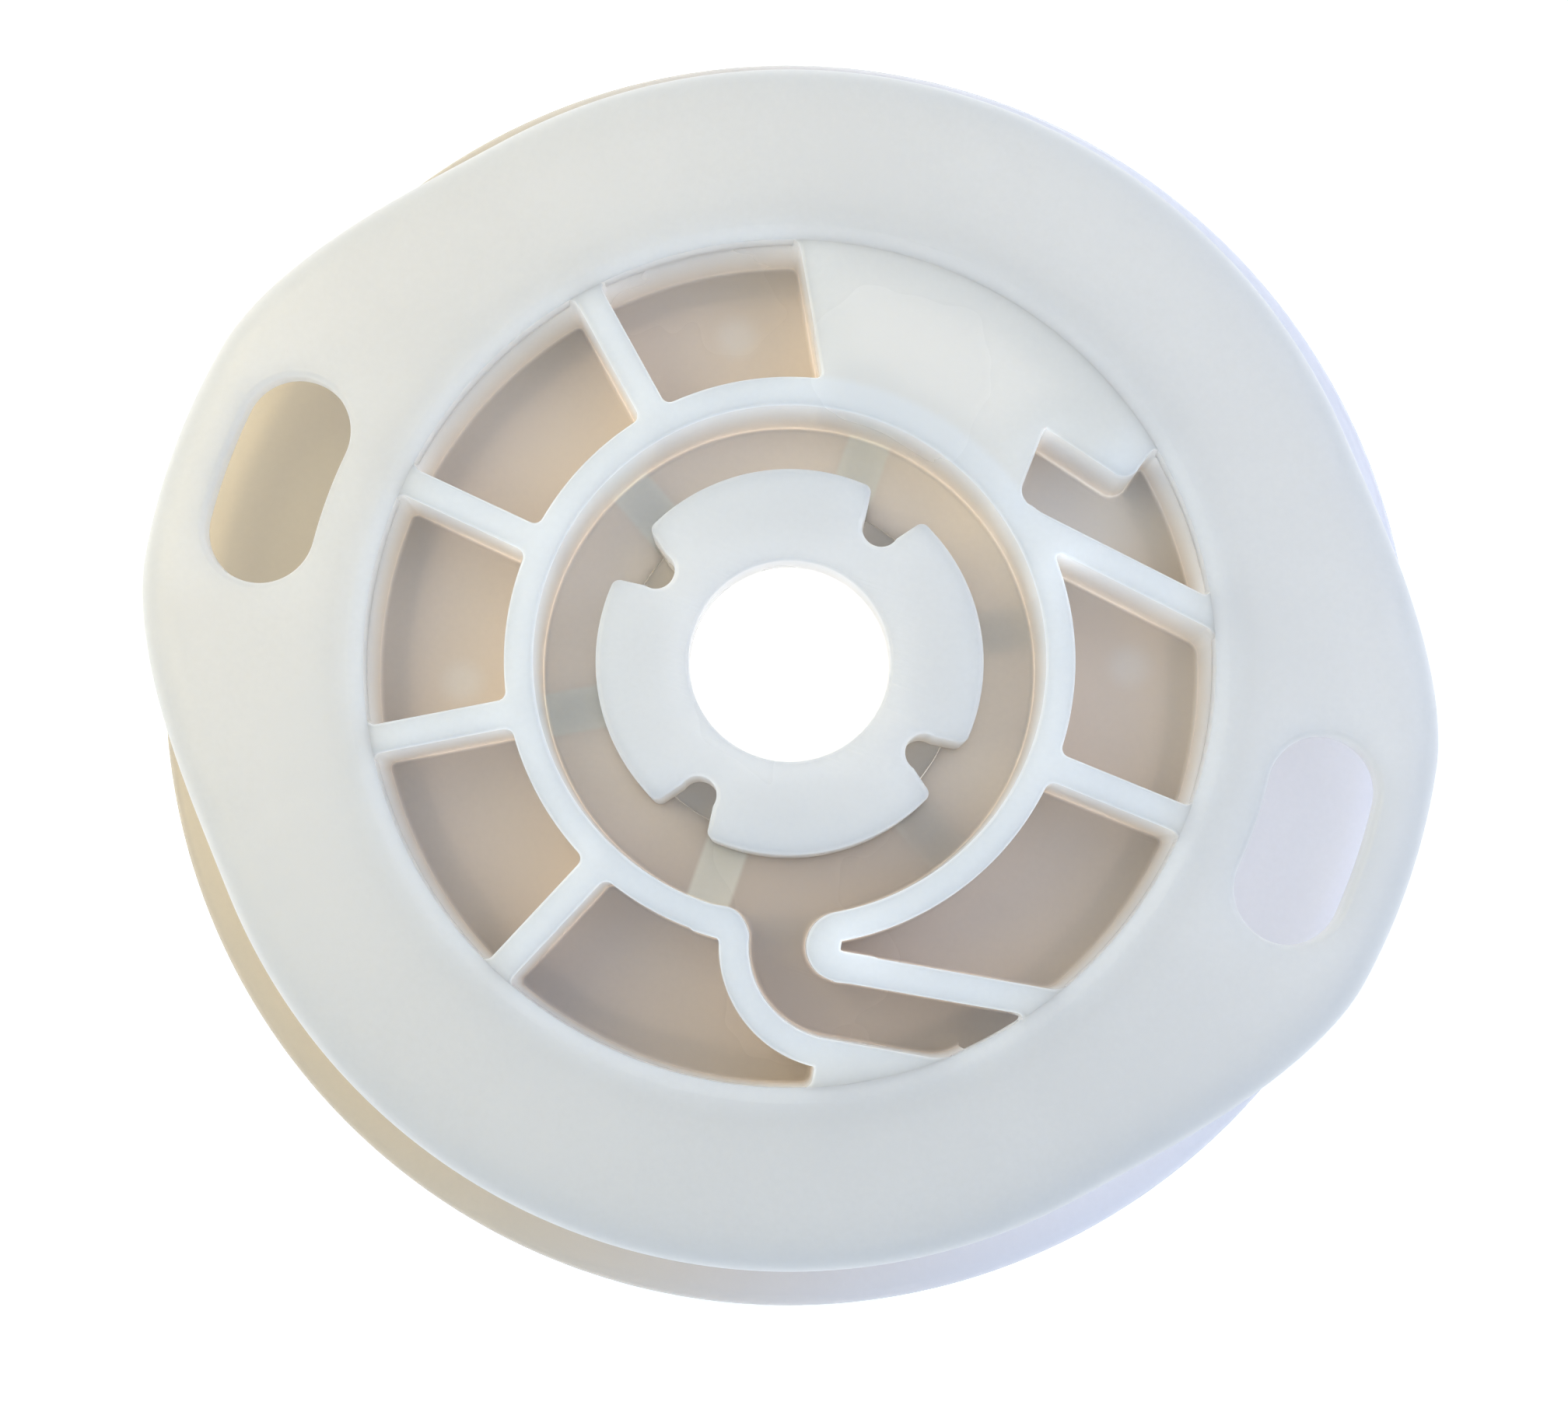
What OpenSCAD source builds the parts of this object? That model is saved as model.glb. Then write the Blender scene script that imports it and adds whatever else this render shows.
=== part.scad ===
// Two-flange cable reel in translucent white plastic.
// An eared front flange and a round rear flange sit on the two ends of a short
// drum. Inside the drum a guide ring, an outlet channel and stiffening ribs
// stand on a thin web, around a notched hub that turns on a plain axle.
// Origin: on the axle axis, in the plane of the rear face. +Z points out of
// the front face. The two ears lie on the X axis.

/* [Overall] */
// Height of the reel over both flange faces
reel_h = 20.2; // [18:0.1:24]
// Radius of the rear flange
rear_r = 67.4; // [60:0.1:72]
// Radius of the front flange between its ears
front_r = 62.2; // [58:0.1:64]
// Radius of the front flange over its ears
ear_r = 67.4; // [66:0.1:69]
// Wall thickness of ribs, rings and flanges
wall = 3.1; // [2.6:0.1:3.4]

/* [Front flange] */
// Angle from the ear axis to where its straight flank leaves the round edge
ear_flank = 42; // [38:0.5:45]
// Radius of the curve on which each ear slot is bent
slot_r = 56.0; // [54:0.1:57]
// Half width of an ear slot
slot_hw = 5.6; // [3:0.1:5.8]
// Angle from the middle of a slot to the centre of its rounded end
slot_half = 5.5; // [3:0.1:8]
// Height of the turned-down rim below the flange's underside
rim_drop = 2.1; // [0.5:0.1:3]
// Rounding of the rim's front edge
rim_round = 4.0; // [2:0.1:4]

/* [Drum] */
// Inside radius of the drum wall, which is also the bore of both flanges
drum_ri = 43.6; // [42:0.1:45]
// Step of the drum's inner parts below the front flange's face
step_down = 0.5; // [0.2:0.1:1]
// Height of the web's front surface, the floor of every pocket
floor_z = 6.6; // [5:0.1:8]
// Thickness of the web
web_t = 2.0; // [1.2:0.1:3]

/* [Guide ring and outlet] */
// Inside radius of the guide ring
ring_ri = 26.2; // [25:0.1:27]
// Angle of the rounded nose that ends the guide ring
nose_a = 299.5; // [297:0.5:301]
// Outside radius of that nose
nose_r = 3.6; // [3:0.1:4]
// Clear width of the outlet channel
channel_w = 5.8; // [5:0.1:6]
// Direction in which the outlet channel leaves
outlet_a = 9.4; // [8:0.1:11]
// Height of the cable window in the drum wall
window_h = 8.8; // [6:0.1:9.5]

/* [Ribs] */
// Angles of the straight radial ribs
rib_angles = [138.2, 174.3, 210.4, 246.5, 357.1];
// Direction of the slanted rib
slant_a = -7.7; // [-10:0.1:-5]
// Distance of the slanted rib's near face from the axis
slant_d = 22.3; // [21:0.1:23]
// Angle of the first of the six rear ribs
rear_rib_a = 30; // [28:1:32]
// Width of a rear rib
rear_rib_w = 4.6; // [3:0.1:5]

/* [Hub] */
// Radius of the hub's front disc
hub_r = 20.0; // [19:0.1:21]
// Height of the hub's front face
hub_z = 18.0; // [16:0.1:19]
// Radius of the axle bore
bore_r = 10.4; // [8:0.1:11]
// Height at which the axle bore opens into the rear recess
bore_z = 12.0; // [11:0.1:14]
// Radius of the rear recess
recess_r = 12.4; // [11.5:0.1:12.5]
// Radius of the hub's rear spigot
spigot_r = 18.1; // [17.5:0.1:18.5]
// Angle of the first of the four notches
notch_a = 75; // [70:1:80]
// Half width of a notch at the hub's edge
notch_out = 3.25; // [2.5:0.05:3.5]
// Half width of a notch at its rounded inner end
notch_in = 1.95; // [1.5:0.05:2.2]
// Radius at which a notch ends
notch_end = 14.8; // [14.5:0.1:15.5]

/* [Hidden] */

$fn = 96;
plate_z = reel_h - wall;               // underside of the front flange
inner_z = reel_h - step_down;          // top of ring, ribs and sector
ring_ro = ring_ri + wall;
drum_ro = drum_ri + wall;
nose_c = [(ring_ri + nose_r) * cos(nose_a), (ring_ri + nose_r) * sin(nose_a)];
out_u = [cos(outlet_a), sin(outlet_a)];          // along the outlet channel
out_v = [sin(outlet_a), -cos(outlet_a)];         // across it, away from the axis
nose_s = nose_c * out_u;
nose_o = nose_c * out_v;
turn_ri = nose_r + channel_w;                    // outer bend of the channel
turn_ro = turn_ri + wall;
bend_r = 2.8;                                    // rounded end of the guide ring
ear_x = 46.5;                                    // plane where an ear meets the arcs
split_y = 0.6;                                   // plane where the two arcs meet
ring_end_a = 275.4;

function pp(r, a) = [r * cos(a), r * sin(a)];
function so(s, o) = s * out_u + o * out_v;
// Outline of the front flange, inset by d: a circle with two tangent-sided ears
function half_outline(d, a) =
    let (f = front_r - d, e = ear_r - d, t = ear_flank - acos(f / e))
    concat([for (i = [0:10]) pp(e, a - t + i * t / 5)],
           [for (i = [0:24]) pp(f, a + ear_flank + i * (180 - 2 * ear_flank) / 24)]);
function flange_outline(d) = concat(half_outline(d, 0), half_outline(d, 180));

module ring2d(ri, ro) { difference() { circle(r = ro); circle(r = ri); } }
module wedge2d(a0, a1, r) {
    n = ceil((a1 - a0) / 10);
    polygon(concat([[0, 0]], [for (i = [0:n]) pp(r, a0 + (a1 - a0) * i / n)]));
}
module slab2d(s0, s1, o0, o1) { polygon([so(s0, o0), so(s1, o0), so(s1, o1), so(s0, o1)]); }
module slot2d(a) {
    n = 10;
    function arc_end(s) = [for (i = [0:n])
        pp(slot_r, a + s * slot_half) + pp(slot_hw, a + s * slot_half + (s > 0 ? 0 : 180) + i * 180 / n)];
    polygon(concat(
        [for (i = [0:5]) pp(slot_r + slot_hw, a - slot_half + i * slot_half / 2.5)],
        [for (i = [1:n - 1]) arc_end(1)[i]],
        [for (i = [0:5]) pp(slot_r - slot_hw, a + slot_half - i * slot_half / 2.5)],
        [for (i = [1:n - 1]) arc_end(-1)[i]]));
}

// Closed sector: outline of its raised plate, between guide ring and drum wall
sector_nose = pp(40.1, 50.3);
sector_nose_r = 1.8;
module sector2d(inset) {
    intersection() {
        ring2d(ring_ro, drum_ri);
        union() {
            polygon([pp(24, 101.2) + inset * [1, -0.3], pp(29.3, 102.8) + inset * [1, 0],
                     pp(43.6, 108.2) + inset * [1, 0], pp(60, 112) + inset * [1, 0],
                     pp(72, 90), pp(72, 60),
                     pp(46, 51.0) + inset * [-0.5, 0.9], sector_nose + inset * [-0.5, 0.9] + pp(sector_nose_r, -25),
                     sector_nose + inset * [-0.6, 0.8] + pp(sector_nose_r, -106),
                     pp(35.5, 61.6) + inset * [-0.6, 0.9], pp(29.3, 55.4) + inset * [-0.9, 0.4],
                     pp(24, 49.5) + inset * [-0.9, 0.4]]);
            if (inset == 0) translate(sector_nose) circle(r = sector_nose_r);
        }
    }
}

// Front flange: flat ring with a rolled, turned-down rim and two slotted ears.
// It is one moulding, stored as two arcs and two ears that meet face to face.
module flange_body() {
    difference() {
        union() {
            translate([0, 0, plate_z - rim_drop]) linear_extrude(wall + rim_drop - rim_round * 0.62)
                polygon(flange_outline(0));
            for (k = [0:3]) {
                d0 = [0.33, 0.95, 1.85, 3.1][k] * rim_round / 4;
                z1 = [0.42, 0.24, 0.11, 0][k] * rim_round;
                translate([0, 0, plate_z - 0.5]) linear_extrude(wall + 0.5 - z1)
                    polygon(flange_outline(d0));
            }
        }
        translate([0, 0, plate_z - rim_drop - 1]) linear_extrude(rim_drop + 1)
            polygon(flange_outline(wall));
        rotate_extrude($fn = 180)
            polygon([[0, -1], [drum_ri, -1], [drum_ri, reel_h - 1.0], [drum_ri + 2.1, reel_h + 0.5], [0, reel_h + 0.5]]);
        for (a = [0, 180]) translate([0, 0, plate_z - 4]) linear_extrude(10) slot2d(a);
    }
}
module flange_part(x0, x1, y0, y1) {
    color([0.90, 0.91, 0.91])
    intersection() {
        flange_body();
        translate([x0, y0, plate_z - rim_drop - 2]) cube([x1 - x0, y1 - y0, reel_h]);
    }
}
module flange_north() { flange_part(-ear_x, ear_x, split_y, 80); }
module flange_south() { flange_part(-ear_x, ear_x, -80, split_y); }
module flange_ear_east() { flange_part(ear_x, 80, -80, 80); }
module flange_ear_west() { flange_part(-80, -ear_x, -80, 80); }

// Rear flange: plain round ring with rounded edges
module rear_flange() {
    e = 1.2;
    color([0.88, 0.88, 0.89])
    rotate_extrude($fn = 180) difference() {
        polygon(concat([[drum_ri, 0]],
            [for (i = [0:6]) [rear_r - e + e * sin(i * 15), e - e * cos(i * 15)]],
            [for (i = [0:6]) [rear_r - e + e * cos(i * 15), wall - e + e * sin(i * 15)]],
            [[drum_ri, wall]]));
    }
}

// Drum wall: the winding surface, with the window the cable leaves through
module drum_wall() {
    color([0.86, 0.87, 0.88])
    difference() {
        translate([0, 0, wall]) cylinder(r = drum_ro, h = plate_z - wall, $fn = 180);
        cylinder(r = drum_ri, h = reel_h, $fn = 180);
        translate([0, 0, floor_z]) linear_extrude(window_h)
            slab2d(20, 60, nose_o + nose_r + 0.2, nose_o + turn_ri - 0.2);
    }
}

// Web: thin floor with a hole for the hub's spigot, open under the closed sector
module web_plate() {
    color([0.78, 0.76, 0.74])
    difference() {
        union() {
            translate([0, 0, floor_z - web_t]) cylinder(r = drum_ri, h = web_t, $fn = 180);
            translate([0, 0, 0.6]) cylinder(r = drum_ri, h = floor_z - 0.6 - web_t / 2, $fn = 180);
        }
        translate([0, 0, -1]) cylinder(r = drum_ri - wall, h = floor_z - web_t + 1, $fn = 180);
        translate([0, 0, -1]) cylinder(r = spigot_r, h = 20);
        translate([0, 0, floor_z - web_t - 1]) linear_extrude(web_t + 2) sector2d(wall);
    }
}

// Rear stiffening: a ring behind the guide ring and six ribs in to the spigot
module rear_ribs() {
    color([0.84, 0.84, 0.84])
    translate([0, 0, 1.2]) linear_extrude(floor_z - web_t - 1.2) {
        ring2d(ring_ri, ring_ro);
        intersection() {
            ring2d(spigot_r, ring_ri + 0.5);
            union() for (k = [0:5]) rotate(rear_rib_a + 60 * k)
                translate([10, -rear_rib_w / 2]) square([20, rear_rib_w]);
        }
    }
}

// Guide ring: open ring whose free end turns back in a hairpin to the drum wall
module guide_ring() {
    color([0.92, 0.93, 0.94]) {
        translate([0, 0, floor_z]) linear_extrude(inner_z - floor_z) {
            intersection() {
                ring2d(ring_ri, ring_ro);
                wedge2d(nose_a - 360, ring_end_a, 60);
            }
            difference() {
                translate(nose_c) circle(r = nose_r);
                difference() {
                    slab2d(nose_s, 60, 0, nose_o + 0.55);
                    circle(r = ring_ro);
                }
            }
        }
        intersection() {
            translate([0, 0, floor_z]) linear_extrude(inner_z - floor_z)
                slab2d(nose_s + 0.3, 60, nose_o + 0.5, nose_o + nose_r - 0.02);
            cylinder(r = drum_ri, h = inner_z, $fn = 180);
        }
    }
}

// Outlet guide: S-shaped wall and land that lead the cable to the window
module outlet_guide() {
    color([0.92, 0.93, 0.94])
    translate([0, 0, floor_z]) linear_extrude(inner_z - floor_z) {
        intersection() {
            circle(r = drum_ri);
            union() {
                intersection() {
                    translate(nose_c) ring2d(turn_ri, turn_ro);
                    translate(nose_c) wedge2d(193.5, 281, 40);
                    difference() { circle(r = 60); circle(r = ring_ro - 1); }
                }
                slab2d(9.6, 60, nose_o + turn_ri, 60);
            }
        }
        intersection() {
            ring2d(ring_ri, ring_ro);
            wedge2d(ring_end_a, ring_end_a + 12, 60);
            union() {
                translate(pp(ring_ri + bend_r, ring_end_a)) circle(r = bend_r);
            }
        }
    }
}

// Pocket ribs: five radial ribs and one slanted rib
module pocket_ribs() {
    color([0.92, 0.93, 0.94])
    translate([0, 0, floor_z]) linear_extrude(inner_z - floor_z)
        intersection() {
            ring2d(ring_ro, drum_ri);
            union() {
                for (a = rib_angles) rotate(a) translate([20, -wall / 2]) square([30, wall]);
                rotate(slant_a) translate([10, slant_d]) square([50, wall - 0.1]);
            }
        }
}

// Closed sector: raised plate with side walls, hollow towards the rear
module closed_sector() {
    color([0.88, 0.89, 0.90])
    difference() {
        translate([0, 0, floor_z]) linear_extrude(inner_z - floor_z) sector2d(0);
        translate([0, 0, floor_z - 1]) linear_extrude(inner_z - floor_z - wall + 1) sector2d(wall);
    }
}

// Hub: notched disc on a spigot, with the axle bore and a rear recess
module hub() {
    c = 0.4;
    color([0.93, 0.94, 0.94])
    difference() {
        union() {
            translate([0, 0, floor_z]) cylinder(r = hub_r, h = hub_z - floor_z, $fn = 180);
            cylinder(r = spigot_r, h = floor_z + 1, $fn = 180);
        }
        translate([0, 0, -1]) cylinder(r = bore_r, h = reel_h + 2);
        translate([0, 0, -1]) cylinder(r = recess_r, h = bore_z + 1);
        translate([0, 0, hub_z - c]) cylinder(r1 = bore_r, r2 = bore_r + c + 0.01, h = c + 0.01);
        for (k = [0:3]) rotate(notch_a + 90 * k) translate([0, 0, floor_z]) linear_extrude(20) {
            polygon([[notch_end + notch_in, -notch_in], [hub_r + 0.2, -notch_out],
                     [hub_r + 2, -notch_out - 0.6], [hub_r + 2, notch_out + 0.6],
                     [hub_r + 0.2, notch_out], [notch_end + notch_in, notch_in]]);
            translate([notch_end + notch_in, 0]) circle(r = notch_in);
        }
    }
}

flange_north();
flange_south();
flange_ear_east();
flange_ear_west();
rear_flange();
drum_wall();
web_plate();
rear_ribs();
guide_ring();
outlet_guide();
pocket_ribs();
closed_sector();
hub();
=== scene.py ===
import math

import bmesh
import bpy
import numpy as np
from mathutils import Matrix, Vector
from mathutils.geometry import tessellate_polygon


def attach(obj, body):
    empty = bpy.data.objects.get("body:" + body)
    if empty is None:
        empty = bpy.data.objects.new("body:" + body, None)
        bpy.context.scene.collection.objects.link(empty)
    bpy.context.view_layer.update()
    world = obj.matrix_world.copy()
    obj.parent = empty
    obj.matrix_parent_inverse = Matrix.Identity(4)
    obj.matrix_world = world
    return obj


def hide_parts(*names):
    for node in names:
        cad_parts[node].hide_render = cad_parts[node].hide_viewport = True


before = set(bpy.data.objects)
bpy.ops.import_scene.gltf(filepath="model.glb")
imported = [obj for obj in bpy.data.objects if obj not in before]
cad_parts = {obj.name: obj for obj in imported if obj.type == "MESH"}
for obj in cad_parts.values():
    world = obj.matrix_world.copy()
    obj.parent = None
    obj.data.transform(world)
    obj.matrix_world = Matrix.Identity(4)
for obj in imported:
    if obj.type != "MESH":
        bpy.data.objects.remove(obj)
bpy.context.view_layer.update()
MM = 0.001

# ---------------------------------------------------------------- dimensions, mm
REEL_H = 20.2
REAR_R, FRONT_R, EAR_R = 67.4, 62.2, 67.4
WALL = 3.1
EAR_FLANK = 42.0
SLOT_R, SLOT_HW, SLOT_HALF = 56.0, 5.6, 5.5
PLATE_Z = REEL_H - WALL
RIM_Z = PLATE_Z - 2.1
BORE_R = 43.6
TOP_Z = REEL_H - 0.25
FLOOR_Z, WEB_T = 6.6, 2.0
RING_RI, RING_RO = 26.2, 29.3
NOSE_A, NOSE_R = 299.5, 3.6
CHANNEL_W = 5.8
OUTLET_A = 9.4
RIBS = (138.2, 174.3, 210.4, 246.5, 357.1)
SLANT_A, SLANT_D = -7.7, 22.3
HUB_R, HUB_Z = 20.0, 18.0
AXLE_R, LEDGE_Z, RECESS_R, SPIGOT_R = 10.4, 12.0, 12.4, 18.1
NOTCH_A, NOTCH_OUT, NOTCH_IN, NOTCH_END = 75.0, 3.25, 1.95, 14.8


def pp(r, a):
    return np.array([r * math.cos(math.radians(a)), r * math.sin(math.radians(a))])


NOSE_C = pp(RING_RI + NOSE_R, NOSE_A)
OUT_U = pp(1, OUTLET_A)
OUT_V = np.array([OUT_U[1], -OUT_U[0]])
NOSE_S, NOSE_O = float(NOSE_C @ OUT_U), float(NOSE_C @ OUT_V)
TURN_RI = NOSE_R + CHANNEL_W
TURN_RO = TURN_RI + WALL

# ---------------------------------------------------------------- plan fields
# A plan field is the signed distance, in mm, to an outline on a square grid.
# It is negative inside. Fields are joined with true fillets, then traced.


class Grid:
    def __init__(self, half, step, cx=0.0, cy=0.0):
        n = int(round(2 * half / step)) + 1
        self.step, self.n = step, n
        self.x0, self.y0 = cx - half, cy - half
        ax = np.arange(n) * step
        self.X, self.Y = np.meshgrid(self.x0 + ax, self.y0 + ax, indexing="ij")
        self.R = np.hypot(self.X, self.Y)
        self.A = np.degrees(np.arctan2(self.Y, self.X))

    def circle(self, c, r):
        return np.hypot(self.X - c[0], self.Y - c[1]) - r

    def local(self, origin, angle):
        c, s = math.cos(math.radians(angle)), math.sin(math.radians(angle))
        dx, dy = self.X - origin[0], self.Y - origin[1]
        return dx * c + dy * s, -dx * s + dy * c

    def box(self, u, v, u0, u1, v0, v1):
        du = np.abs(u - (u0 + u1) / 2) - (u1 - u0) / 2
        dv = np.abs(v - (v0 + v1) / 2) - (v1 - v0) / 2
        return np.hypot(np.maximum(du, 0), np.maximum(dv, 0)) + np.minimum(np.maximum(du, dv), 0)

    def arc(self, c, r, a0, a1, half):
        """A band of width 2*half on an arc from a0 to a1, with round ends."""
        dx, dy = self.X - c[0], self.Y - c[1]
        mid, span = (a0 + a1) / 2, (a1 - a0) / 2
        a = (np.degrees(np.arctan2(dy, dx)) - mid + 180) % 360 - 180
        on = np.abs(np.hypot(dx, dy) - r)
        ends = []
        for e in (a0, a1):
            p = pp(r, e)
            ends.append(np.hypot(dx - p[0], dy - p[1]))
        return np.where(np.abs(a) <= span, on, np.minimum(*ends)) - half

    def polygon(self, pts):
        pts = np.asarray(pts, float)
        d = np.full(self.X.shape, 1e9)
        inside = np.zeros(self.X.shape, bool)
        for i in range(len(pts)):
            a, b = pts[i], pts[(i + 1) % len(pts)]
            e = b - a
            wx, wy = self.X - a[0], self.Y - a[1]
            t = np.clip((wx * e[0] + wy * e[1]) / (e @ e), 0, 1)
            d = np.minimum(d, np.hypot(wx - t * e[0], wy - t * e[1]))
            crosses = (a[1] > self.Y) != (b[1] > self.Y)
            if a[1] != b[1]:
                xi = a[0] + (self.Y - a[1]) * e[0] / e[1]
                inside ^= crosses & (self.X < xi)
        return np.where(inside, -d, d)


def join(a, b, r=0.0):
    """Union, with a fillet of radius r in the corners it makes."""
    if r <= 0:
        return np.minimum(a, b)
    ua, ub = np.maximum(r - a, 0), np.maximum(r - b, 0)
    return np.maximum(r, np.minimum(a, b)) - np.hypot(ua, ub)


def cut(a, b, r=0.0):
    """a without b, with its corners rounded to radius r."""
    if r <= 0:
        return np.maximum(a, -b)
    ua, ub = np.maximum(r + a, 0), np.maximum(r - b, 0)
    return np.minimum(-r, np.maximum(a, -b)) + np.hypot(ua, ub)


def trace(grid, field, tol=0.006, longest=2.5):
    """Closed outlines of field = 0 as (points, outward normals), anticlockwise round the inside."""
    F = np.where(field == 0, 1e-9, field)
    n = grid.n
    S = F < 0
    pos = {}

    def put(kind, i, j):
        key = (kind * n + i) * n + j
        if key not in pos:
            if kind == 0:
                a, b = F[i, j], F[i + 1, j]
                t = a / (a - b)
                pos[key] = (grid.x0 + (i + t) * grid.step, grid.y0 + j * grid.step)
            else:
                a, b = F[i, j], F[i, j + 1]
                t = a / (a - b)
                pos[key] = (grid.x0 + i * grid.step, grid.y0 + (j + t) * grid.step)
        return key

    code = (S[:-1, :-1] * 1 + S[1:, :-1] * 2 + S[1:, 1:] * 4 + S[:-1, 1:] * 8)
    nxt = {}
    # edges of a cell: 0 bottom, 1 right, 2 top, 3 left
    table = {1: [(3, 0)], 2: [(0, 1)], 3: [(3, 1)], 4: [(1, 2)], 5: [(3, 0), (1, 2)], 6: [(0, 2)], 7: [(3, 2)],
             8: [(2, 3)], 9: [(2, 0)], 10: [(0, 1), (2, 3)], 11: [(2, 1)], 12: [(1, 3)], 13: [(1, 0)], 14: [(0, 3)]}
    for i, j in np.argwhere((code > 0) & (code < 15)):
        ids = ((0, i, j), (1, i + 1, j), (0, i, j + 1), (1, i, j))
        for s, e in table[int(code[i, j])]:
            nxt[put(*ids[e])] = put(*ids[s])
    gx, gy = np.gradient(field, grid.step)
    loops, seen = [], set()
    for start in list(nxt):
        if start in seen:
            continue
        loop, k = [], start
        while k not in seen:
            seen.add(k)
            loop.append(pos[k])
            k = nxt.get(k)
            if k is None:
                break
        if len(loop) < 12:
            continue
        p = thin(np.array(loop), tol, longest)
        area = 0.5 * np.sum(p[:, 0] * np.roll(p[:, 1], -1) - np.roll(p[:, 0], -1) * p[:, 1])
        fx = np.clip((p[:, 0] - grid.x0) / grid.step, 0, n - 1.001)
        fy = np.clip((p[:, 1] - grid.y0) / grid.step, 0, n - 1.001)
        i0, j0 = fx.astype(int), fy.astype(int)
        tx, ty = fx - i0, fy - j0

        def at(g):
            return ((g[i0, j0] * (1 - tx) + g[i0 + 1, j0] * tx) * (1 - ty)
                    + (g[i0, j0 + 1] * (1 - tx) + g[i0 + 1, j0 + 1] * tx) * ty)
        nrm = np.stack([at(gx), at(gy)], 1)
        nrm /= np.maximum(np.hypot(nrm[:, 0], nrm[:, 1]), 1e-6)[:, None]
        if area < 0:
            p, nrm = p[::-1], nrm[::-1]
        loops.append((p, nrm, abs(area)))
    return sorted(loops, key=lambda l: -l[2])


def thin(p, tol, longest):
    """Drops points that lie on a straight run, keeping the outline within tol."""
    n = len(p)
    far = int(np.argmax(np.hypot(*(p - p[0]).T)))
    keep = {0, far}
    stack = [(0, far), (far, n)]
    while stack:
        a, b = stack.pop()
        if b - a < 2:
            continue
        A, B = p[a], p[b % n]
        e = B - A
        L = math.hypot(*e)
        q = p[a + 1:b]
        if L < 1e-9:
            d = np.hypot(*(q - A).T)
        else:
            d = np.abs((q[:, 0] - A[0]) * e[1] - (q[:, 1] - A[1]) * e[0]) / L
        k = int(np.argmax(d))
        if d[k] > tol or L > longest:
            k = k if d[k] > tol else (b - a) // 2 - 1
            m = a + 1 + k
            keep.add(m)
            stack += [(a, m), (m, b)]
    idx = sorted(keep)
    q = p[idx]
    gap = np.hypot(*(q - np.roll(q, 1, 0)).T)
    return q[gap > 0.02]


# ---------------------------------------------------------------- solids
def make(name, verts, faces):
    me = bpy.data.meshes.new(name)
    me.from_pydata([tuple(v) for v in np.asarray(verts) * MM], [], faces)
    me.update()
    bm = bmesh.new()
    bm.from_mesh(me)
    bmesh.ops.recalc_face_normals(bm, faces=bm.faces)
    bm.to_mesh(me)
    bm.free()
    ob = bpy.data.objects.new(name, me)
    bpy.context.scene.collection.objects.link(ob)
    return ob


def loft(name, loops, rings):
    """Closed solids: each outline is swept through rings of (height, outward offset)."""
    verts, faces = [], []
    for p, nrm, _ in loops:
        base, n = len(verts), len(p)
        for z, off in rings:
            q = p + nrm * off
            verts += [(x, y, z) for x, y in q]
        for k in range(len(rings) - 1):
            a, b = base + k * n, base + (k + 1) * n
            faces += [(a + i, a + (i + 1) % n, b + (i + 1) % n, b + i) for i in range(n)]
        for k, flip in ((0, True), (len(rings) - 1, False)):
            a = base + k * n
            tri = tessellate_polygon([[Vector(verts[a + i]) for i in range(n)]])
            for t in tri:
                t = [a + i for i in t]
                faces.append(t[::-1] if flip else t)
    return make(name, verts, faces)


def revolve(name, profile, n=360):
    """A ring-shaped solid from a closed profile of (radius, height)."""
    m = len(profile)
    th = np.arange(n) * 2 * math.pi / n
    verts = [(r * math.cos(t), r * math.sin(t), z) for t in th for r, z in profile]
    faces = []
    for i in range(n):
        a, b = i * m, ((i + 1) % n) * m
        faces += [(a + k, b + k, b + (k + 1) % m, a + (k + 1) % m) for k in range(m)]
    return make(name, verts, faces)


def plug(name, profile, n=240):
    """A solid of revolution whose profile of (radius, height) starts and ends on the axis side as flat ends."""
    m = len(profile)
    th = np.arange(n) * 2 * math.pi / n
    verts = [(r * math.cos(t), r * math.sin(t), z) for t in th for r, z in profile]
    faces = []
    for i in range(n):
        a, b = i * m, ((i + 1) % n) * m
        faces += [(a + k, b + k, b + k + 1, a + k + 1) for k in range(m - 1)]
    faces.append([i * m for i in range(n)][::-1])
    faces.append([i * m + m - 1 for i in range(n)])
    return make(name, verts, faces)


def round_pts(cx, cz, r, a0, a1, n=5):
    return [(cx + r * math.cos(math.radians(a0 + (a1 - a0) * i / n)),
             cz + r * math.sin(math.radians(a0 + (a1 - a0) * i / n))) for i in range(n + 1)]


def boolean(ob, other, op):
    mod = ob.modifiers.new("b", "BOOLEAN")
    mod.operation = op
    mod.object = other
    try:
        mod.solver = "MANIFOLD"
    except TypeError:
        mod.solver = "EXACT"
    dg = bpy.context.evaluated_depsgraph_get()
    me = bpy.data.meshes.new_from_object(ob.evaluated_get(dg))
    ob.modifiers.clear()
    if len(me.polygons) == 0:
        raise RuntimeError("boolean emptied " + ob.name)
    ob.data = me
    bpy.data.objects.remove(other)


def finish_mesh(ob, sharp=38):
    bm = bmesh.new()
    bm.from_mesh(ob.data)
    bmesh.ops.remove_doubles(bm, verts=bm.verts, dist=2e-6)
    bmesh.ops.dissolve_degenerate(bm, edges=bm.edges, dist=1e-6)
    lim = math.radians(sharp)
    for f in bm.faces:
        f.smooth = True
    for e in bm.edges:
        e.smooth = not (len(e.link_faces) == 2 and e.calc_face_angle(0) > lim)
    bm.to_mesh(ob.data)
    bm.free()
    w = ob.modifiers.new("w", "WEIGHTED_NORMAL")
    w.mode = "FACE_AREA"
    w.keep_sharp = True
    w.weight = 50


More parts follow.
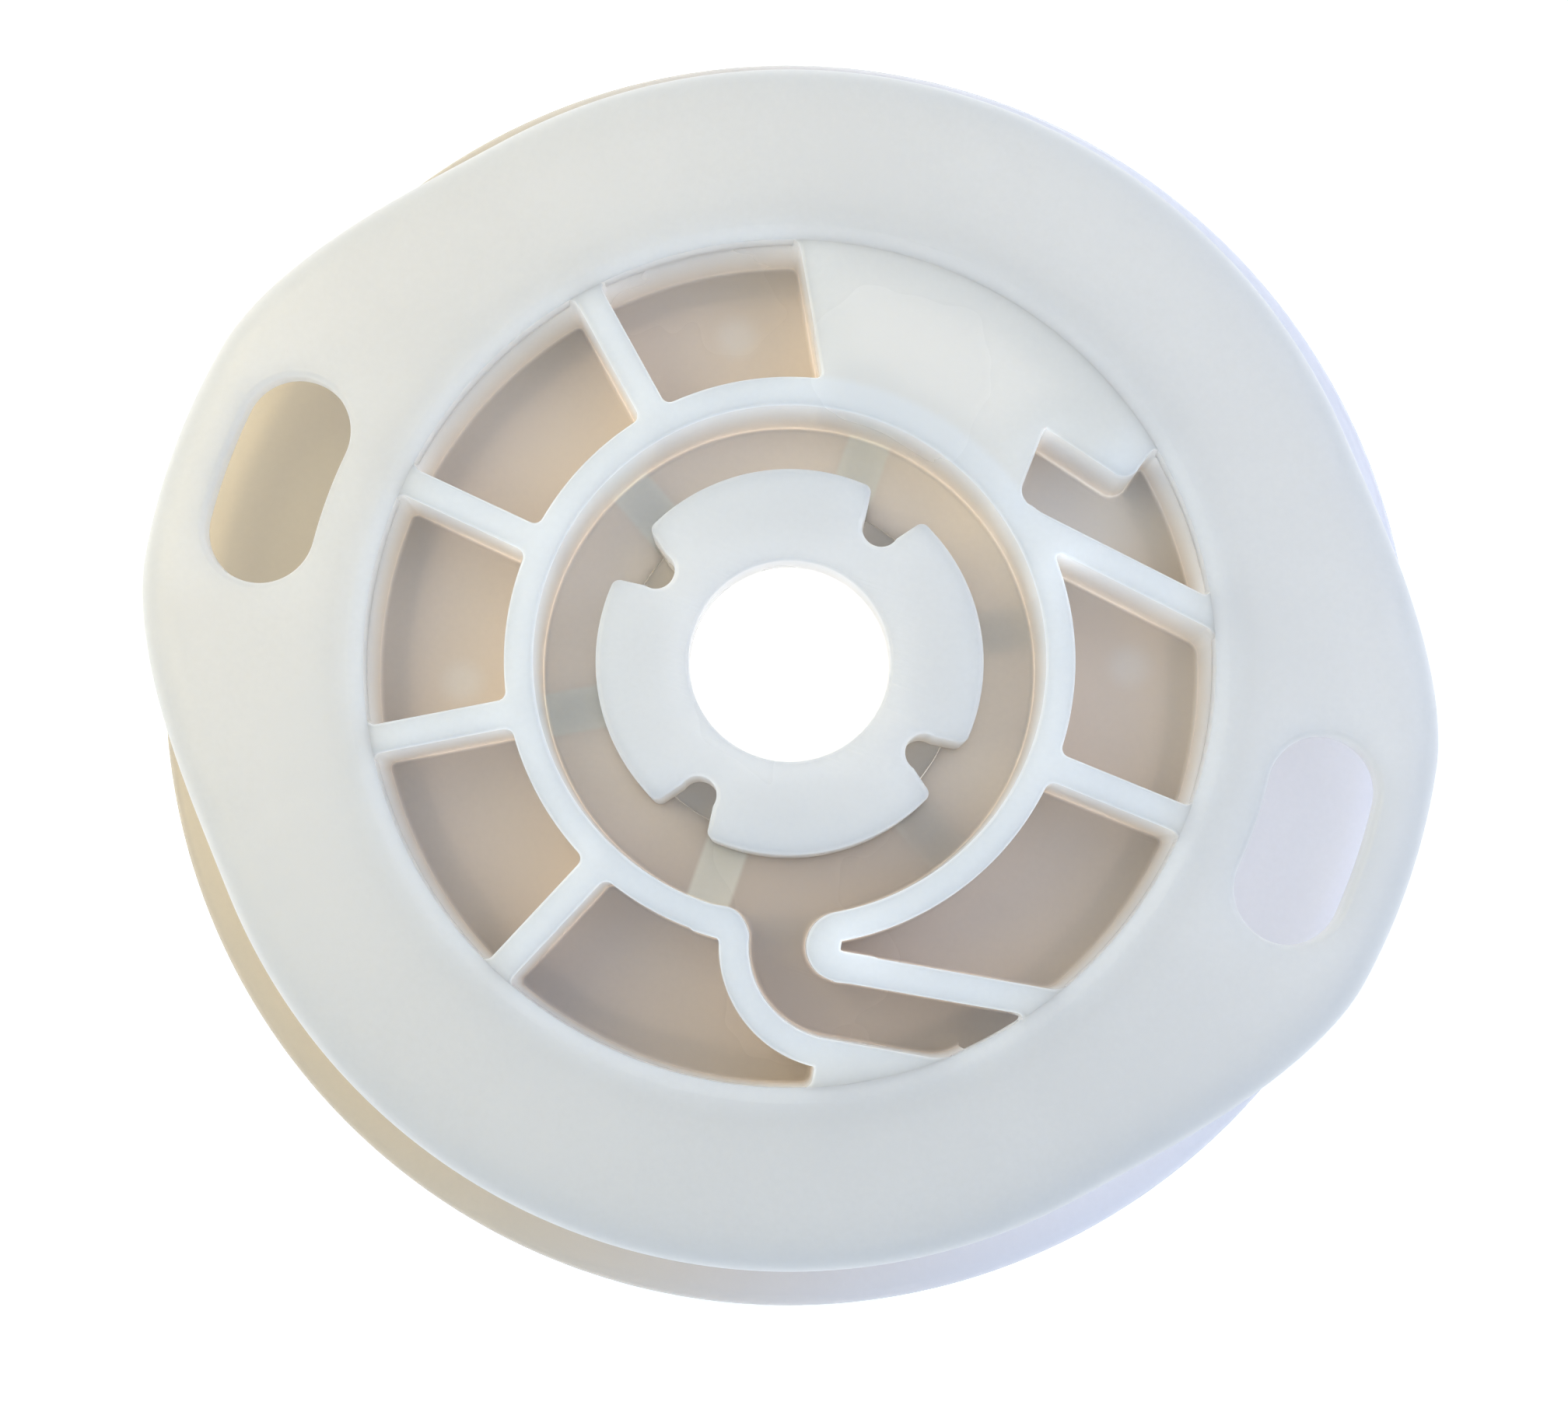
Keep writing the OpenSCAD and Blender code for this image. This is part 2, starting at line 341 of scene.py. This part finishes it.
def flare(z, r, n=5):
    """Rings that open a hole's mouth at height z with a rounded edge of radius r."""
    rings = []
    for i in range(n):
        f = math.radians(74 * i / (n - 1))
        rings.append((z - r + r * math.sin(f), r * (1 - math.cos(f))))
    zl, ol = rings[-1]
    rings.append((z + 0.25, ol + (z + 0.25 - zl) / math.tan(math.radians(16))))
    return rings


def foot(z, r, n=5):
    """Rings that start a pocket at its floor z with a fillet of radius r."""
    return [(z + r - r * math.cos(math.radians(90 * i / n)), -r + r * math.sin(math.radians(90 * i / n)))
            for i in range(n + 1)]


TURN = 19.4                                # the ear axis in the picture, clockwise from level

# ---------------------------------------------------------------- drum core
g = Grid(48.4, 0.2)
u, v = g.local((0, 0), OUTLET_A)
o = -v                                     # distance from the axis, across the outlet
walls = g.arc((0, 0), (RING_RI + RING_RO) / 2, NOSE_A - 360, 275.4, WALL / 2)
bend = np.maximum(g.circle(pp(29.0, 275.4), 2.8), np.minimum(g.R - RING_RO, g.circle(NOSE_C, TURN_RO)))
s_wall = g.arc(NOSE_C, (TURN_RI + TURN_RO) / 2, 193.5, 281, WALL / 2)
land = g.box(u, o, 9.6, 60, NOSE_O + TURN_RI, 60)
vee = np.maximum(np.maximum(NOSE_S - u, o - NOSE_O - 0.5), RING_RO - g.R)
nose = np.maximum(g.circle(NOSE_C, NOSE_R), -vee)
out_rib = g.box(u, o, NOSE_S, 60, NOSE_O + 0.5, NOSE_O + NOSE_R)
walls = np.minimum(walls, nose)
walls = join(walls, out_rib, 0.35)
guide = join(np.minimum(bend, s_wall), land, 0.0)
walls = join(walls, guide, 0.6)
sector = g.polygon([pp(27.5, 102.4), pp(29.3, 102.8), pp(43.6, 108.2), pp(70, 113), pp(72, 90), pp(72, 60),
                    pp(46, 51.0), pp(40.1, 50.3) + pp(1.8, -25), pp(40.1, 50.3) + pp(1.8, -106),
                    pp(35.5, 61.6), pp(29.3, 55.4), pp(27.5, 53.5)])
sector = np.maximum(np.minimum(sector, g.circle(pp(40.1, 50.3), 1.8)), 27.6 - g.R)
walls = join(walls, sector, 0.7)
for a in RIBS:
    ru, rv = g.local((0, 0), a)
    walls = join(walls, g.box(ru, rv, 28, 60, -WALL / 2, WALL / 2), 0.8)
ru, rv = g.local((0, 0), SLANT_A)
walls = join(walls, g.box(ru, rv, 15.0, 60, SLANT_D, SLANT_D + WALL - 0.1), 0.8)
walls = join(walls, BORE_R - g.R, 0.8)
pockets = trace(g, -walls)

T = 0.35
core = revolve("drum_core", [
    (SPIGOT_R, 1.2), (40.9, 1.2), (41.3, 0.9), (41.6, 0.6), (43.2, 0.6), (43.56, 0.95), (43.56, WALL + 0.01),
    (46.4, WALL + 0.01), (46.7, WALL + 0.3), (46.7, PLATE_Z - 0.3), (46.4, PLATE_Z - 0.01), (43.54, PLATE_Z - 0.01),
    (BORE_R - 0.01, PLATE_Z + 0.06), (BORE_R - 0.01, TOP_Z), (SPIGOT_R, TOP_Z)])
front = [r for r in foot(FLOOR_Z, 0.5)] + [(TOP_Z - 2.0, 0.03)] + [(z, o_ + 0.05) for z, o_ in flare(TOP_Z, T)]
boolean(core, loft("cut_front", pockets, front), "DIFFERENCE")
# rear side: an annular channel, six pockets between ribs and the sector's hollow
boolean(core, revolve("cut_rear", [(RING_RO, -1)] + [(RING_RO, 4.1)] + round_pts(RING_RO + 0.5, 4.1, 0.5, 180, 90)[1:]
                      + round_pts(40.5 - 0.5, 4.1, 0.5, 90, 0) + [(40.5, -1)]), "DIFFERENCE")
gr = Grid(29.0, 0.2)
rear = RING_RI - gr.R
for k in range(6):
    ru, rv = gr.local((0, 0), 30 + 60 * k)
    rear = join(rear, gr.box(ru, rv, 8, 40, -2.3, 2.3), 0.8)
rear = np.minimum(rear, gr.R - 14.0)
rear_loops = trace(gr, -rear)
ceiling = [(-1.0, 0.0), (4.1, 0.0)] + [(z, -off) for z, off in
                                       [(4.6 - 0.5 + 0.5 * math.sin(math.radians(18 * i)), 0.5 - 0.5 * math.cos(math.radians(18 * i)))
                                        for i in range(1, 6)]]
boolean(core, loft("cut_rear2", rear_loops, ceiling), "DIFFERENCE")
hollow = g.polygon([pp(29.3, 102.8), pp(43.6, 108.2), pp(70, 113), pp(72, 90), pp(72, 60),
                    pp(46, 51.0), pp(40.1, 50.3) + pp(1.8, -25), pp(40.1, 50.3) + pp(1.8, -106),
                    pp(35.5, 61.6), pp(29.3, 55.4)])
hollow = cut(cut(hollow + WALL, 40.0 - g.R, 1.5), g.R - RING_RO - 0.6, 1.5) + 0.4
boolean(core, loft("cut_hollow", trace(g, hollow)[:1], [(4.45, 0.0), (16.6, 0.0)]), "DIFFERENCE")
# cable window through the drum wall
wu, wv = g.local((0, 0), OUTLET_A)
gw = Grid(9.0, 0.1, 3.0, 6.6 + 4.4)
win = gw.box(gw.X, gw.Y, NOSE_R + 0.2 - 3.6, TURN_RI - 0.2 - 3.6, FLOOR_Z + 0.02, 15.4)
wl = trace(gw, join(win + 0.8, win + 0.8) - 0.8)
wp, wn, _ = wl[0]
verts, faces, n = [], [], len(wp)
for s_ in (24.5, 50.0):
    for a, z in wp:
        q = OUT_U * s_ + OUT_V * (NOSE_O + 3.6 + a)
        verts.append((q[0], q[1], z))
faces += [(i, (i + 1) % n, n + (i + 1) % n, n + i) for i in range(n)]
faces += [list(range(n))[::-1], list(range(n, 2 * n))]
boolean(core, make("cut_window", verts, faces), "DIFFERENCE")
finish_mesh(core)

# ---------------------------------------------------------------- front flange
gf = Grid(70.0, 0.25)
disc = gf.R - FRONT_R
cf, sf = math.cos(math.radians(EAR_FLANK)), math.sin(math.radians(EAR_FLANK))
d1 = np.abs(gf.X) * cf + np.abs(gf.Y) * sf - FRONT_R
tip = gf.R - EAR_R
RC = 5.0
ua, ub = np.maximum(RC + d1, 0), np.maximum(RC + tip, 0)
ear = np.minimum(-RC, np.maximum(d1, tip)) + np.hypot(ua, ub)
ear = np.maximum(ear, np.abs(gf.Y) - FRONT_R * sf)
outline = trace(gf, np.minimum(disc, ear), tol=0.005, longest=1.6)[:1]
rim = [(RIM_Z, 0.45), (RIM_Z + 0.12, 0.16), (RIM_Z + 0.4, 0.0), (17.3, 0.0)]
A_, B_ = 4.0, 2.75
for i in range(1, 13):
    f = math.radians(90 * i / 12)
    rim.append((REEL_H - B_ * (1 - math.sin(f)), A_ * (1 - math.cos(f))))
flange = loft("front_flange_skin", outline, [(z, -d) for z, d in rim])
under = [(12.0, -WALL), (16.4, -WALL)] + [(PLATE_Z - 0.7 + 0.7 * math.sin(math.radians(18 * i)),
                                           -WALL - 0.7 + 0.7 * math.cos(math.radians(18 * i))) for i in range(1, 6)]
boolean(flange, loft("cut_under", outline, under), "DIFFERENCE")
bore = [(BORE_R, 10.0), (BORE_R, REEL_H - 0.25), (BORE_R + 0.9, REEL_H - 0.11), (BORE_R + 1.2, REEL_H - 0.05),
        (BORE_R + 1.5, REEL_H - 0.01), (BORE_R + 1.8, REEL_H + 0.02), (BORE_R + 2.6, REEL_H + 0.5)]
boolean(flange, plug("cut_bore", bore, 360), "DIFFERENCE")
slots = []
for a0 in (0, 180):
    gs = Grid(14.0, 0.1, *(pp(SLOT_R, a0)))
    slots += trace(gs, gs.arc((0, 0), SLOT_R, a0 - SLOT_HALF, a0 + SLOT_HALF, SLOT_HW), tol=0.004, longest=1.2)[:1]
mouth = [(PLATE_Z - 0.3, 0.5), (PLATE_Z + 0.1, 0.15), (PLATE_Z + 0.3, 0.0), (PLATE_Z + 1.0, 0.0)] + flare(REEL_H, 0.8, 7)
boolean(flange, loft("cut_slots", slots, mouth), "DIFFERENCE")
finish_mesh(flange)

# ---------------------------------------------------------------- rear flange
E = 1.2
prof = ([(BORE_R + 0.3, 0.0)] + round_pts(REAR_R - E, E, E, -90, 0, 7) + round_pts(REAR_R - E, WALL - E, E, 0, 90, 7)
        + [(BORE_R + 0.3, WALL), (BORE_R, WALL - 0.3), (BORE_R, 0.3)])
rear_ob = revolve("rear_flange_skin", prof, 480)
finish_mesh(rear_ob)

# ---------------------------------------------------------------- hub
gh = Grid(22.0, 0.1)
top = gh.R - HUB_R
for k in range(4):
    nu, nv = gh.local((0, 0), NOTCH_A + 90 * k)
    slope = (NOTCH_OUT - NOTCH_IN) / (HUB_R - (NOTCH_END + NOTCH_IN))
    side = (np.abs(nv) - (NOTCH_IN + slope * (nu - NOTCH_END - NOTCH_IN))) / math.hypot(1, slope)
    wedge = np.maximum(side, NOTCH_END + NOTCH_IN - nu)
    notch = np.minimum(wedge, gh.circle(pp(NOTCH_END + NOTCH_IN, NOTCH_A + 90 * k), NOTCH_IN))
    top = cut(top, notch, 0.7)
hub_loop = trace(gh, top, tol=0.004, longest=1.2)[:1]
H = 0.55
hub = loft("hub_skin", hub_loop, [(FLOOR_Z, -0.02), (FLOOR_Z + 0.6, 0.0)] + [
    (HUB_Z - H + H * math.sin(math.radians(15 * i)), -H + H * math.cos(math.radians(15 * i))) for i in range(7)])
boolean(hub, plug("spigot", [(SPIGOT_R - 0.45, 0.0), (SPIGOT_R - 0.05, 0.4), (SPIGOT_R - 0.05, FLOOR_Z + 0.02),
                             (SPIGOT_R - 0.12, FLOOR_Z + 0.09)], 240), "UNION")
L = 0.4
bore = [(RECESS_R + 0.9, -0.5), (RECESS_R, 0.4), (RECESS_R, LEDGE_Z - 0.3), (RECESS_R - 0.3, LEDGE_Z),
        (AXLE_R + 0.15, LEDGE_Z), (AXLE_R, LEDGE_Z + 0.15)] + [
    (AXLE_R + L - L * math.cos(math.radians(12.5 * i)), HUB_Z - L + L * math.sin(math.radians(12.5 * i))) for i in range(7)] + [
    (AXLE_R + 0.95, HUB_Z + 0.3)]
boolean(hub, plug("cut_axle", bore, 240), "DIFFERENCE")
finish_mesh(hub)


# ---------------------------------------------------------------- materials
class Nodes:
    """Short calls that add shader nodes to one material."""

    def __init__(self, mat):
        mat.use_nodes = True
        self.nt = mat.node_tree
        self.nt.nodes.clear()

    def add(self, kind, **props):
        n = self.nt.nodes.new("ShaderNode" + kind)
        for k, val in props.items():
            setattr(n, k, val)
        return n

    def link(self, a, b):
        self.nt.links.new(a, b)

    def put(self, socket, value):
        if isinstance(value, bpy.types.NodeSocket):
            self.link(value, socket)
        else:
            socket.default_value = value

    def math(self, op, a, b=0.0, c=None, clamp=False):
        n = self.add("Math", operation=op, use_clamp=clamp)
        self.put(n.inputs[0], a)
        self.put(n.inputs[1], b)
        if c is not None:
            self.put(n.inputs[2], c)
        return n.outputs[0]

    def ramp(self, x, x0, x1, y0=0.0, y1=1.0, smooth=True):
        n = self.add("MapRange", interpolation_type="SMOOTHSTEP" if smooth else "LINEAR")
        self.put(n.inputs["Value"], x)
        for k, val in (("From Min", x0), ("From Max", x1), ("To Min", y0), ("To Max", y1)):
            n.inputs[k].default_value = val
        return n.outputs["Result"]

    def mix(self, fac, a, b, blend="MIX"):
        n = self.add("Mix", data_type="RGBA", blend_type=blend)
        self.put(n.inputs[0], fac)
        for sock, val in ((n.inputs[6], a), (n.inputs[7], b)):
            self.put(sock, val if isinstance(val, bpy.types.NodeSocket) else (*val, 1.0))
        return n.outputs[2]


def plastic(name, top, deep_shade, z_top, z_deep, scale, rough, seed, strips=False, marks_and_lit_spot=(), warm_light=None, painted_glow=0.0, edge=0.0):
    """Natural white moulding resin, with painted light and shade: painted bright where it faces out, painted warmer
    and darker down in its pockets.
    """
    mat = bpy.data.materials.new(name)
    m = Nodes(mat)
    out = m.add("OutputMaterial")
    bs = m.add("BsdfPrincipled")
    m.link(bs.outputs["BSDF"], out.inputs["Surface"])
    pos = m.add("NewGeometry").outputs["Position"]
    xyz = m.add("SeparateXYZ")
    m.link(pos, xyz.inputs[0])
    x, y, z = xyz.outputs
    shift = m.add("VectorMath", operation="ADD")
    m.link(pos, shift.inputs[0])
    shift.inputs[1].default_value = (seed, seed * 0.7, seed * 1.3)
    cloud = m.add("TexNoise")
    cloud.inputs["Scale"].default_value = 30.0
    cloud.inputs["Detail"].default_value = 3.0
    m.link(shift.outputs[0], cloud.inputs["Vector"])
    grain = m.add("TexNoise")
    grain.inputs["Scale"].default_value = 1500.0
    grain.inputs["Detail"].default_value = 3.0
    m.link(pos, grain.inputs["Vector"])
    nrm = m.add("SeparateXYZ")
    m.link(m.add("NewGeometry").outputs["Normal"], nrm.inputs[0])
    flat = m.ramp(m.math("ABSOLUTE", nrm.outputs["Z"]), 0.35, 0.95, 0.0, 1.0)
    # painted shade: walls and pocket floors are painted from the top colour down to the darker, warmer deep colour
    depth = m.ramp(z, z_deep, z_top, 1.0, 0.0, smooth=False)
    side = m.math("MULTIPLY", m.math("POWER", depth, 1.6), 0.85)
    floor_f = m.math("MULTIPLY", m.ramp(z, z_deep + 0.0006, z_deep + 0.0030, 1.0, 0.0), flat)
    col = m.mix(m.math("MAXIMUM", side, floor_f), top, deep_shade)
    # painted glow: mask of upright faces near the top, which are made to emit a faint light below
    upright_glow = m.math("MULTIPLY", m.math("SUBTRACT", 1.0, flat), m.math("SUBTRACT", 1.0, depth))
    r_ = m.math("SQRT", m.math("ADD", m.math("MULTIPLY", x, x), m.math("MULTIPLY", y, y)))
    u_ = m.math("ADD", m.math("MULTIPLY", x, math.cos(math.radians(TURN))), m.math("MULTIPLY", y, math.sin(math.radians(TURN))))
    v_ = m.math("SUBTRACT", m.math("MULTIPLY", y, math.cos(math.radians(TURN))), m.math("MULTIPLY", x, math.sin(math.radians(TURN))))
    if edge:
        # painted highlight: the thinner lip round the drum is painted whiter, as if it passed a little more light
        col = m.mix(m.ramp(r_, 0.0436, 0.0475, edge, 0.0), col, (1.0, 1.0, 1.0))
    if warm_light:
        # painted shade: the rear flange is painted darker where the front flange overhangs it
        shade = m.ramp(r_, 0.0615, 0.0640, 1.0, 0.0)
        col = m.mix(shade, col, (0.77, 0.78, 0.83))
        # painted warm light: the rear flange is painted warmer towards the ear on the left, where the warm lamp falls
        tint = m.mix(shade, warm_light, [c_ * k_ for c_, k_ in zip(warm_light, (0.86, 0.88, 0.92))])
        col = m.mix(m.ramp(u_, -0.052, 0.035, 1.0, 0.0), col, tint)
    if strips:
        # painted light: where the six rear ribs stand behind the thin web it is painted paler in bands, and paler in a
        # disc over the spigot boss, as light scattered through the resin would show them
        r2 = r_
        near = None
        for a in (30, 90, 150):
            c_, s_ = math.cos(math.radians(a)), math.sin(math.radians(a))
            d = m.math("ABSOLUTE", m.math("SUBTRACT", m.math("MULTIPLY", x, s_), m.math("MULTIPLY", y, c_)))
            near = d if near is None else m.math("MINIMUM", near, d)
        band = m.ramp(near, 0.0020, 0.0026, 1.0, 0.0)
        band = m.math("MULTIPLY", band, m.ramp(r2, 0.0272, 0.0262, 0.0, 1.0))
        band = m.math("MULTIPLY", band, m.ramp(u_, 0.0100, 0.0130, 1.0, 0.12))
        boss = m.ramp(r2, 0.0179, 0.0183, 1.0, 0.0)
        # painted shade: where the walls are thick or backed by the drum, the top is painted as dull as the flange, not
        # as bright as the thin walls
        ang = m.math("ARCTAN2", y, x)
        in_sector = m.math("MULTIPLY", m.ramp(ang, math.radians(49), math.radians(57)), m.ramp(ang, math.radians(109.5), math.radians(107), 0.0, 1.0))
        in_sector = m.math("MULTIPLY", in_sector, m.ramp(r2, 0.0288, 0.0300))
        rim_end = m.ramp(r2, 0.0385, 0.0436, 0.0, 0.8)
        high = m.ramp(z, 0.0150, 0.0185)
        col = m.mix(m.math("MULTIPLY", m.math("MAXIMUM", in_sector, rim_end), high), col, (0.90, 0.90, 0.88))
        # painted light: the paler rib bands and boss disc on the low floors
        pale = m.math("MAXIMUM", m.math("MULTIPLY", band, 0.85), m.math("MULTIPLY", boss, 0.7))
        low = m.ramp(z, 0.0072, 0.0078, 1.0, 0.0)
        # painted shade: the low floors are painted darker towards the bottom; painted light: the narrow channel
        # between guide ring and hub is painted warmer and brighter, as it gathers more light than the open outlet
        col = m.mix(m.math("MULTIPLY", m.ramp(v_, -0.034, 0.004, 1.0, 0.0), low), col, (0.85, 0.845, 0.86), "MULTIPLY")
        channel = m.math("MULTIPLY", m.ramp(r2, 0.0260, 0.0264, 1.0, 0.0), m.ramp(v_, -0.024, -0.008))
        col = m.mix(m.math("MULTIPLY", m.math("MULTIPLY", channel, low), 0.85), col, (0.98, 0.895, 0.80))
        col = m.mix(m.math("MULTIPLY", pale, low), col, (1.0, 0.98, 0.89))
        # ejector marks, and one wide spot of painted light, are painted paler in the top colour
        for (mx, my, mr, k) in marks_and_lit_spot:
            dx, dy = m.math("SUBTRACT", x, mx * MM), m.math("SUBTRACT", y, my * MM)
            dd = m.math("SQRT", m.math("ADD", m.math("MULTIPLY", dx, dx), m.math("MULTIPLY", dy, dy)))
            spot = m.math("MULTIPLY", m.ramp(dd, mr * 0.25 * MM, mr * 1.25 * MM, k, 0.0), low)
            col = m.mix(spot, col, top)
    tone = m.math("MULTIPLY_ADD", grain.outputs["Fac"], 0.3, m.math("MULTIPLY", cloud.outputs["Fac"], 0.7))
    col = m.mix(m.ramp(tone, 0.35, 0.65, 0.0, 1.0), col, (0.965, 0.965, 0.965), "MULTIPLY")
    m.link(col, bs.inputs["Base Color"])
    m.link(m.ramp(cloud.outputs["Fac"], 0.2, 0.8, rough - 0.04, rough + 0.05), bs.inputs["Roughness"])
    bs.subsurface_method = "BURLEY"
    bs.inputs["Subsurface Weight"].default_value = 1.0
    bs.inputs["Subsurface Radius"].default_value = (1.0, 0.93, 0.85)
    # light spreads less in the thin floors than in the walls
    m.link(m.math("MULTIPLY_ADD", floor_f, -0.65 * scale, scale), bs.inputs["Subsurface Scale"])
    # painted glow: upright faces near the top emit a faint light of their own, brightening the wall sides
    bs.inputs["Emission Color"].default_value = (0.97, 0.98, 1.0, 1.0)
    m.link(m.math("MULTIPLY", upright_glow, painted_glow), bs.inputs["Emission Strength"])
    bs.inputs["Specular IOR Level"].default_value = 0.5
    bs.inputs["IOR"].default_value = 1.5
    bump = m.add("Bump")
    bump.inputs["Strength"].default_value = 0.06
    bump.inputs["Distance"].default_value = 0.0001
    m.link(grain.outputs["Fac"], bump.inputs["Height"])
    m.link(bump.outputs["Normal"], bs.inputs["Normal"])
    return mat


SSS = 0.010
# three small ejector marks, and one wide spot that is painted light on a pocket floor
MARKS_AND_LIT_SPOT = []
for r_, a_, m_, k_ in ((36.5, 98.8, 2.6, 0.30), (34.8, 182.0, 2.6, 0.30), (36.3, 0.7, 2.6, 0.28), (35.5, 29.0, 11.0, 0.55)):
    q = pp(r_, a_ + TURN)
    MARKS_AND_LIT_SPOT.append((q[0], q[1], m_, k_))
# painted light and shade: the four parts are one white resin, each given its own lighter, darker, bluer or warmer copy
# of the colour for how light falls on it
m_flange = plastic("white_flange", (0.80, 0.795, 0.785), (0.78, 0.77, 0.76), 17.0 * MM, 14.0 * MM, SSS, 0.34, 0.1, painted_glow=0.05, edge=0.75)
m_core = plastic("white_drum", (0.92, 0.945, 0.965), (0.81, 0.715, 0.625), 19.6 * MM, 6.6 * MM, SSS, 0.24, 0.35, True, MARKS_AND_LIT_SPOT, painted_glow=0.10)
m_rear = plastic("white_rear", (0.78, 0.795, 0.875), (0.79, 0.79, 0.84), 4.0 * MM, 0.0, SSS, 0.22, 0.6, warm_light=(0.65, 0.575, 0.455))
m_hub = plastic("white_hub", (0.895, 0.905, 0.915), (0.80, 0.74, 0.67), 17.4 * MM, 6.6 * MM, SSS, 0.30, 0.9, painted_glow=0.05)
for ob, mat in ((core, m_core), (flange, m_flange), (rear_ob, m_rear), (hub, m_hub)):
    ob.data.materials.clear()
    ob.data.materials.append(mat)
    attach(ob, "root")
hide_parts("drum_wall", "web_plate", "rear_ribs", "guide_ring", "outlet_guide", "pocket_ribs", "closed_sector")
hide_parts("flange_north", "flange_south", "flange_ear_east", "flange_ear_west")
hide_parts("rear_flange")
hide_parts("hub")

# ---------------------------------------------------------------- stage
bpy.ops.mesh.primitive_plane_add(size=3.0, location=(0, 0, -0.0002))
floor = bpy.context.object
floor.name = "floor"
fm = bpy.data.materials.new("floor_white")
fm.use_nodes = True
fb = fm.node_tree.nodes["Principled BSDF"]
fb.inputs["Base Color"].default_value = (0.9, 0.9, 0.9, 1)
fb.inputs["Roughness"].default_value = 0.9
fb.inputs["Specular IOR Level"].default_value = 0.1
fb.inputs["Emission Color"].default_value = (1, 1, 1, 1)
fb.inputs["Emission Strength"].default_value = 0.58
floor.data.materials.append(fm)

# camera, from the fitted view: the picture's frame is turned by TURN degrees
TY, TX = math.radians(4.6), math.radians(-0.2)
cx, sx, cy, sy = math.cos(TX), math.sin(TX), math.cos(TY), math.sin(TY)
BX = np.array([cx, 0, -sx])
BY = np.array([sx * sy, cy, cx * sy])
BZ = np.array([-sx * cy, sy, -cx * cy])
O = np.array([7.3, 67.4, 3800.0])
pos = -0.08 * np.array([BX @ O, BY @ O, BZ @ O])
M = Matrix.Identity(4)
for row, (a, b, c) in enumerate(((BX[0], BX[1], -BX[2]), (BY[0], BY[1], -BY[2]), (BZ[0], BZ[1], -BZ[2]))):
    M[row][0], M[row][1], M[row][2] = a, b, c
turn = Matrix.Rotation(math.radians(TURN), 4, "Z")
T_ = Matrix.Translation(Vector((pos[0], pos[1], pos[2])) * MM)
cam_data = bpy.data.cameras.new("camera")
cam = bpy.data.objects.new("camera", cam_data)
bpy.context.scene.collection.objects.link(cam)
cam.matrix_world = Matrix.Translation((0, 0, HUB_Z * MM)) @ turn @ T_ @ M
cam_data.sensor_width = 36.0
cam_data.lens = 36.0 * 3800 / 2016
cam_data.clip_start = 0.01
cam_data.clip_end = 20
bpy.context.scene.camera = cam
bpy.context.scene.view_settings.view_transform = "Standard"
bpy.context.scene.view_settings.look = "None"


def area(name, az, el, dist, size, power, color, aim=(0, 0, 0.01)):
    """A soft panel; az is measured in the picture, anticlockwise from its right side."""
    a, e = math.radians(az + TURN), math.radians(el)
    p = Vector((dist * math.cos(e) * math.cos(a), dist * math.cos(e) * math.sin(a), dist * math.sin(e))) + Vector(aim)
    li = bpy.data.lights.new(name, "AREA")
    li.shape = "DISK"
    li.size = size
    li.energy = power
    li.color = color
    ob = bpy.data.objects.new(name, li)
    bpy.context.scene.collection.objects.link(ob)
    ob.matrix_world = Matrix.Translation(p) @ (Vector(aim) - p).to_track_quat("-Z", "Y").to_matrix().to_4x4()
    return ob


area("warm_left", 160, 48, 0.27, 0.22, 0.262, (1.0, 0.82, 0.44))
area("cool_right", 8, 48, 0.27, 0.22, 0.138, (0.92, 0.90, 1.0))
area("top", 92, 48, 0.27, 0.22, 0.043, (1.0, 0.85, 0.60))
area("glint", -72, 52, 0.60, 0.05, 0.06, (1.0, 0.98, 0.95))
world = bpy.data.worlds.new("world")
bpy.context.scene.world = world
world.use_nodes = True
world.node_tree.nodes["Background"].inputs[0].default_value = (0.60, 0.78, 1.0, 1)
world.node_tree.nodes["Background"].inputs[1].default_value = 0.515
